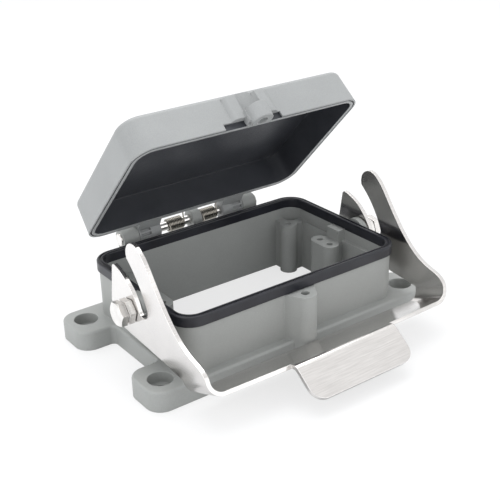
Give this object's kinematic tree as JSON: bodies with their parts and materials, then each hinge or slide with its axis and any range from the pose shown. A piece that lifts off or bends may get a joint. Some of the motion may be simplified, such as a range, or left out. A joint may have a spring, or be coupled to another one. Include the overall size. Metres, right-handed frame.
{
  "type": "bulkhead connector housing",
  "caption": "Bulkhead housing of a rectangular multi-pole connector, with a sprung hinged cover, a sealed rim and a folded sheet locking lever.",
  "frame": {"origin": "centre of the four-hole mounting pattern, on the mounting face", "axes": "+X along the housing's long side, +Y towards the cover hinge, +Z out of the panel"},
  "size_m": [0.168, 0.1496, 0.1201],
  "materials": {
    "cast_body": "grey powder coat on die-cast aluminium",
    "cast_cover": "light grey powder coat on die-cast aluminium",
    "seal_rubber": "moulded nitrile rubber, semi-gloss",
    "lever_sheet": "2 mm stainless sheet, brushed",
    "bright_steel": "bright stainless steel",
    "spring_steel": "stainless spring wire"
  },
  "bodies": {
    "housing": {"housing": "cast_body", "rim_seal": "seal_rubber", "base_gasket": "seal_rubber", "hinge_pin": "bright_steel", "hinge_pin_clip": "bright_steel", "torsion_spring_left": "spring_steel", "torsion_spring_right": "spring_steel", "pivot_screw_left": "bright_steel", "pivot_nut_left": "bright_steel", "pivot_bush_left": "bright_steel", "thrust_washer_left": "bright_steel", "pivot_screw_right": "bright_steel", "pivot_nut_right": "bright_steel", "pivot_bush_right": "bright_steel", "thrust_washer_right": "bright_steel"},
    "cover": {"cover": "cast_cover"},
    "locking_lever": {"locking_lever": "lever_sheet"}
  },
  "joints": [
    {"name": "cover_hinge", "type": "hinge", "parent": "housing", "child": "cover", "pos_m": [0, 0.0522, 0.0382], "axis": [1, 0, 0], "range_deg": [-48, 46.6], "deforming": ["torsion_spring_left", "torsion_spring_right"]},
    {"name": "lever_pivot", "type": "hinge", "parent": "housing", "child": "locking_lever", "pos_m": [0, -0.008, 0.0327], "axis": [1, 0, 0], "range_deg": [-72, 0]}
  ]
}
